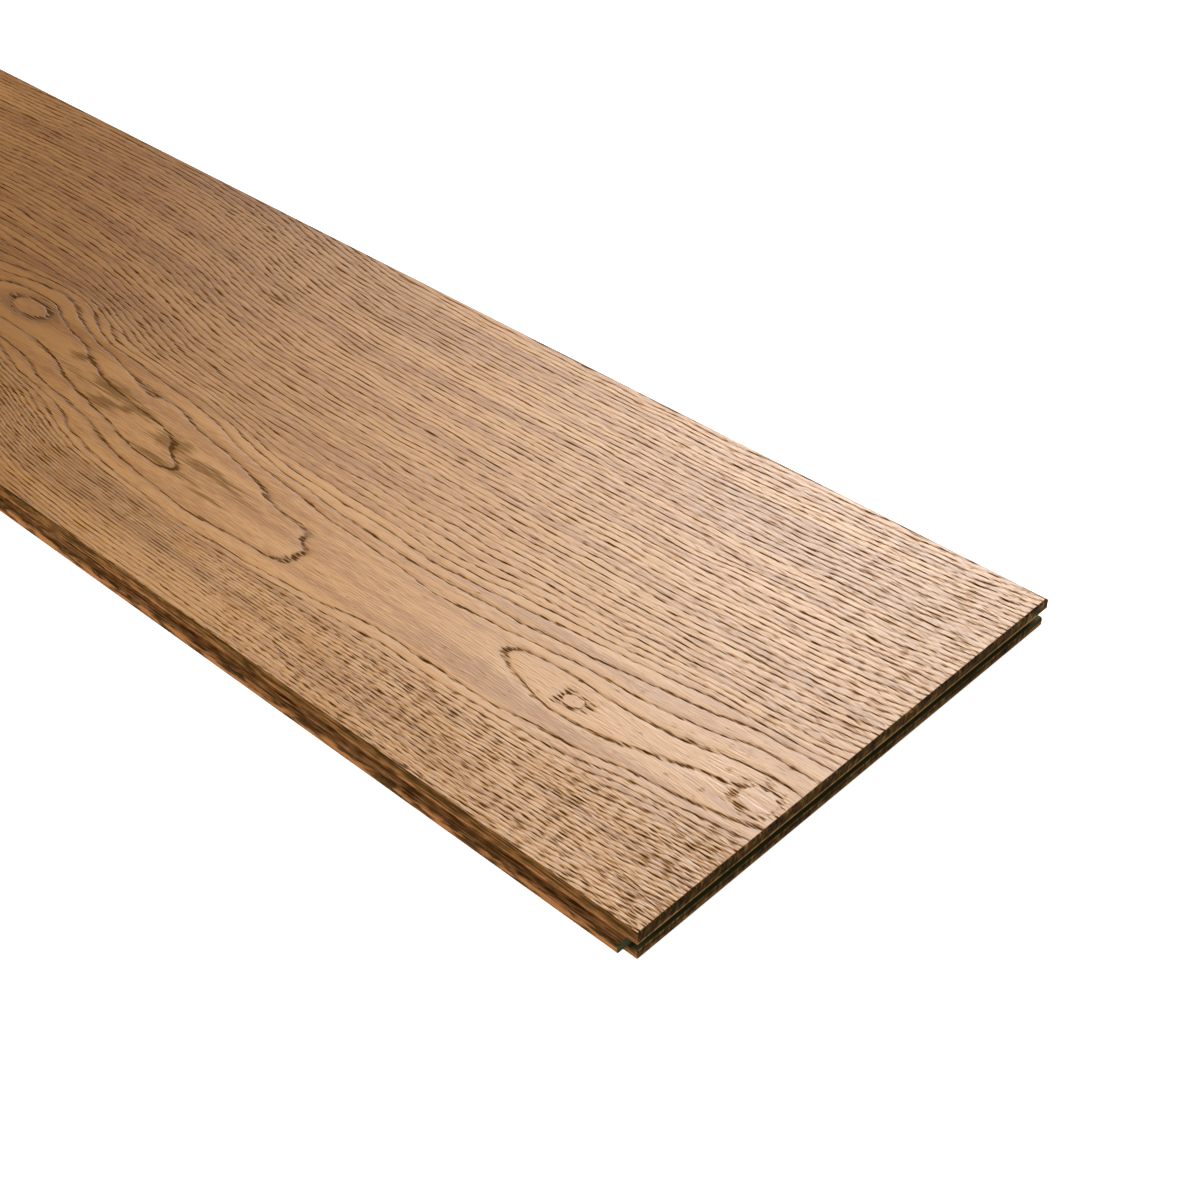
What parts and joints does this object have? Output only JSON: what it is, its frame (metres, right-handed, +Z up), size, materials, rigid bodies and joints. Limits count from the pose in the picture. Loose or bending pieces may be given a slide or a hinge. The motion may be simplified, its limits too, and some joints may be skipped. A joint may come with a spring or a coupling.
{
  "type": "wide plank floorboard",
  "caption": "Wide, thin oak floorboard with a brushed, brown-stained face, fine bevels, tongue and groove along both long edges and across both ends.",
  "frame": {"origin": "on the plane of the underside, under the middle of the bounding box", "axes": "+X along the board towards its grooved end, +Y across it towards its grooved long edge, +Z up through the brushed face"},
  "size_m": [2.2046, 0.255, 0.014],
  "materials": {
    "stained_oak": "brushed grain, brown stain, matt oil"
  },
  "bodies": {
    "root": {"floorboard": "stained_oak"}
  },
  "joints": []
}
